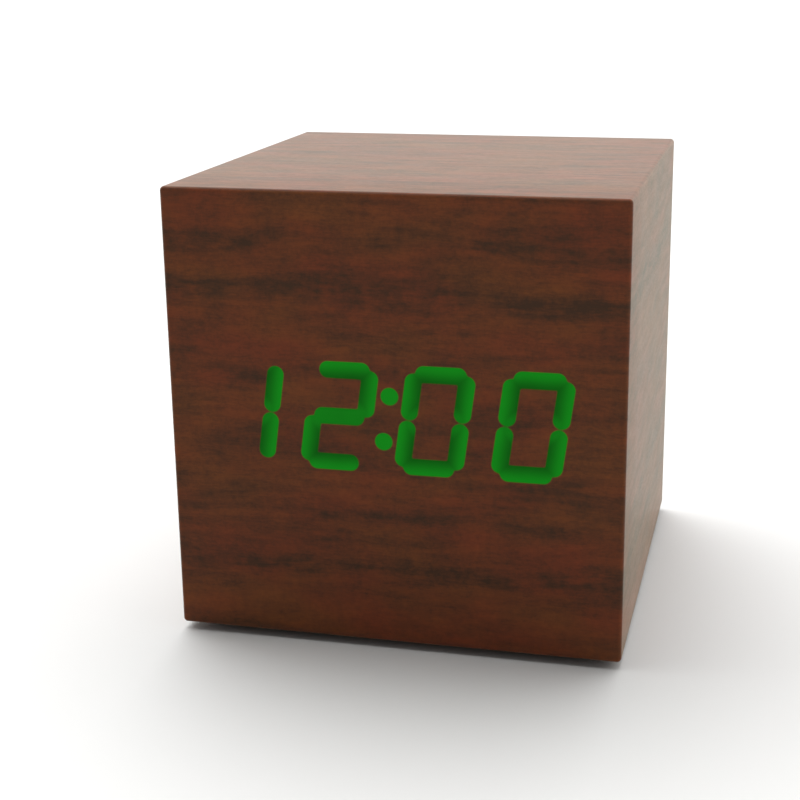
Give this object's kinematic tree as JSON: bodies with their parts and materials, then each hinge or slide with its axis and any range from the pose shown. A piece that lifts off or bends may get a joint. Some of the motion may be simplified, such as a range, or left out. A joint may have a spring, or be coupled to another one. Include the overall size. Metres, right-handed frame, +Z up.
{
  "type": "digital alarm clock",
  "caption": "Cube alarm clock with a wood-look skin, a seven-segment display that glows through it, rear push buttons and a battery door underneath.",
  "frame": {"origin": "on the surface the clock stands on, under the middle of the cube", "axes": "+Z up; the display faces -Y, and the buttons and power jack face +Y; +X is to the right of someone who reads the display"},
  "size_m": [0.062, 0.062, 0.063],
  "materials": {
    "fibreboard": "raw sanded fibreboard, matt",
    "wood_film": "dark red-brown wood-grain film, satin, the digits shine through it",
    "black_plastic": "fine spark-eroded texture",
    "button_plastic": "smooth satin",
    "chip_plastic": "moulded epoxy and nylon",
    "white_plastic": "reflector white",
    "diffuser_sheet": "frosted sheet",
    "circuit_board": "green solder mask over glass laminate",
    "grey_ribbon": "flat cable insulation",
    "bright_metal": "nickel plated",
    "dark_screw": "black zinc",
    "cell_jacket": "printed steel can, plain",
    "red_wire": "wire insulation",
    "black_wire": "wire insulation",
    "foot_rubber": "matt"
  },
  "bodies": {
    "case": {"case_core": "fibreboard", "woodgrain_wrap": "wood_film", "rear_cover": "black_plastic", "segment_block": "white_plastic", "diffuser_film": "diffuser_sheet", "display_board": "circuit_board", "display_header": "white_plastic", "led_driver_chip": "chip_plastic", "ribbon_cable": "grey_ribbon", "main_board": "circuit_board", "main_header": "white_plastic", "clock_chip": "chip_plastic", "quartz_crystal": "bright_metal", "filter_capacitor": "cell_jacket", "alarm_buzzer": "chip_plastic", "microphone": "bright_metal", "temperature_sensor": "chip_plastic", "power_jack": "chip_plastic", "battery_box": "black_plastic", "contact_positive": "bright_metal", "contact_negative": "bright_metal", "contact_bridge_left": "bright_metal", "contact_bridge_right": "bright_metal", "battery_lead_red": "red_wire", "battery_lead_black": "black_wire", "set_switch_body": "chip_plastic", "up_switch_body": "chip_plastic", "down_switch_body": "chip_plastic", "rear_cover_screw_1": "dark_screw", "display_board_screw_1": "bright_metal", "main_board_screw_1": "bright_metal", "rubber_foot_1": "foot_rubber", "rear_cover_screw_2": "dark_screw", "display_board_screw_2": "bright_metal", "main_board_screw_2": "bright_metal", "rubber_foot_2": "foot_rubber", "rear_cover_screw_3": "dark_screw", "display_board_screw_3": "bright_metal", "main_board_screw_3": "bright_metal", "rubber_foot_3": "foot_rubber", "rear_cover_screw_4": "dark_screw", "display_board_screw_4": "bright_metal", "main_board_screw_4": "bright_metal", "rubber_foot_4": "foot_rubber", "battery_box_screw_1": "bright_metal", "battery_box_screw_2": "bright_metal", "battery_cell_1": "cell_jacket", "contact_spring_1": "bright_metal", "battery_cell_2": "cell_jacket", "contact_spring_2": "bright_metal", "battery_cell_3": "cell_jacket", "contact_spring_3": "bright_metal"},
    "set_button": {"set_button_cap": "button_plastic", "set_switch_plunger": "white_plastic"},
    "up_button": {"up_button_cap": "button_plastic", "up_switch_plunger": "white_plastic"},
    "down_button": {"down_button_cap": "button_plastic", "down_switch_plunger": "white_plastic"},
    "battery_door": {"battery_door": "black_plastic"}
  },
  "joints": [
    {"name": "set_press", "type": "slide", "parent": "case", "child": "set_button", "axis": [0, -1, 0], "range_m": [0, 0.0005], "stiffness_N_per_m": 1000, "springref_m": -0.001},
    {"name": "up_press", "type": "slide", "parent": "case", "child": "up_button", "axis": [0, -1, 0], "range_m": [0, 0.0005], "stiffness_N_per_m": 1000, "springref_m": -0.001},
    {"name": "down_press", "type": "slide", "parent": "case", "child": "down_button", "axis": [0, -1, 0], "range_m": [0, 0.0005], "stiffness_N_per_m": 1000, "springref_m": -0.001},
    {"name": "battery_door_swing", "type": "hinge", "parent": "case", "child": "battery_door", "pos_m": [0, -0.0141, 0.002], "axis": [-1, 0, 0], "range_deg": [0, 80]}
  ]
}
